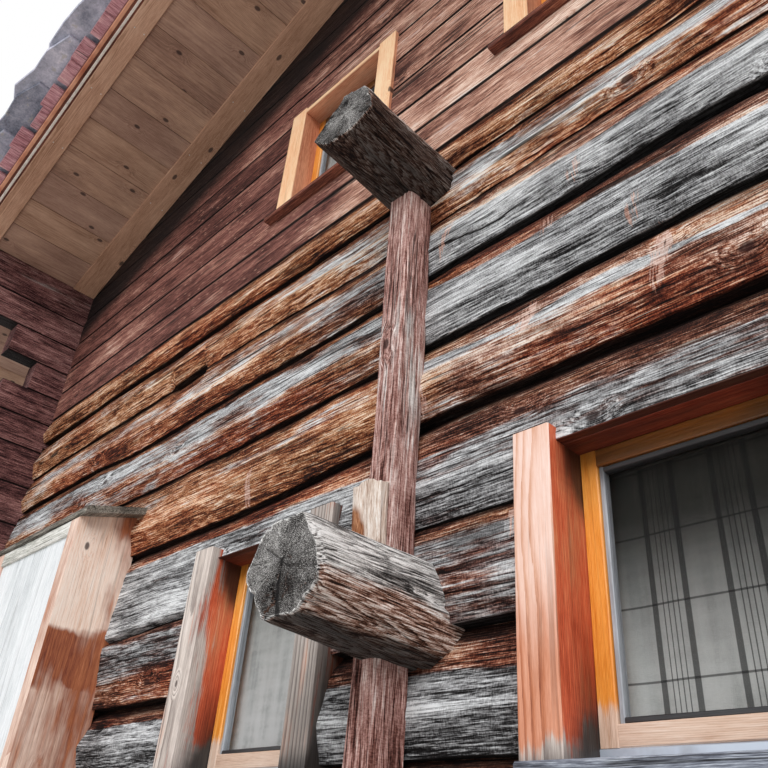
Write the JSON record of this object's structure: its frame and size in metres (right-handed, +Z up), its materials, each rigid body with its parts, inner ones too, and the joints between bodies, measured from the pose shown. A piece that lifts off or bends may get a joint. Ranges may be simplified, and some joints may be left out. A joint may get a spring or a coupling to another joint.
{
  "type": "alpine log chalet",
  "caption": "Two-storey alpine log chalet with crossed log corners, a timber wall clamp on the front, framed windows, window boxes and a wide stone-slab roof on a masonry plinth.",
  "frame": {"origin": "on the ground, at the middle of the house", "axes": "+X along the front to the right as seen from outside, +Y from the front to the rear, +Z up"},
  "size_m": [10.105, 10.79, 6.7106],
  "materials": {
    "masonry": "rough rubble masonry",
    "floor_boards": "sawn boards",
    "logs": "weathered hewn and planed logs",
    "side_logs": "weathered hewn and planed logs",
    "purlins": "stained beams",
    "rafters": "sawn timber",
    "lining": "knotty pine boards",
    "slating_boards": "red-brown stained boards",
    "roof_stone": "split stone slabs",
    "flashing": "painted folded metal",
    "clamp_wood": "grey weathered hewn timber",
    "wedge_wood": "split pale wood",
    "casing_wood": "oiled planks, weathered in front",
    "sill_wood": "dark weathered board",
    "strip_metal": "pale painted strip",
    "frame_wood": "varnished pine",
    "sash_paint": "satin grey-white",
    "glass": "clear",
    "rod": "brushed",
    "curtain": "sheer striped cloth",
    "box_wood": "weathered planed boards",
    "cap_wood": "grey weathered board",
    "panel_wood": "pale weathered boards",
    "door_wood": "oiled planks",
    "steps_stone": "dressed stone"
  },
  "bodies": {
    "root": {"gable_plinths": "masonry", "side_plinths": "masonry", "floor_joists": "floor_boards", "ground_floor": "floor_boards", "attic_floor": "floor_boards", "front_logs_odd": "logs", "front_logs_even": "logs", "rear_logs_odd": "logs", "rear_logs_even": "logs", "left_logs_odd": "side_logs", "left_logs_even": "side_logs", "right_logs_odd": "side_logs", "right_logs_even": "side_logs", "eave_purlins": "purlins", "ridge_purlin": "purlins", "rafters": "rafters", "roof_boards_left": "lining", "roof_boards_right": "lining", "verge_trims": "lining", "slating_boards": "slating_boards", "stone_slabs_left": "roof_stone", "stone_slabs_right": "roof_stone", "ridge_stones": "roof_stone", "verge_flashings": "flashing", "clamp_post": "clamp_wood", "lower_clamp_beam": "clamp_wood", "upper_clamp_beam": "clamp_wood", "clamp_wedge": "wedge_wood", "lower_jambs": "casing_wood", "attic_jambs": "casing_wood", "head_boards": "casing_wood", "door_jambs": "casing_wood", "sills": "sill_wood", "sill_strips": "strip_metal", "window_frames": "frame_wood", "window_sashes": "sash_paint", "window_glass": "glass", "curtain_rods": "rod", "curtains": "curtain", "box_cheeks": "box_wood", "box_caps": "cap_wood", "box_rails": "panel_wood", "box_panels": "panel_wood", "door_leaf": "door_wood", "door_steps": "steps_stone"}
  },
  "joints": []
}
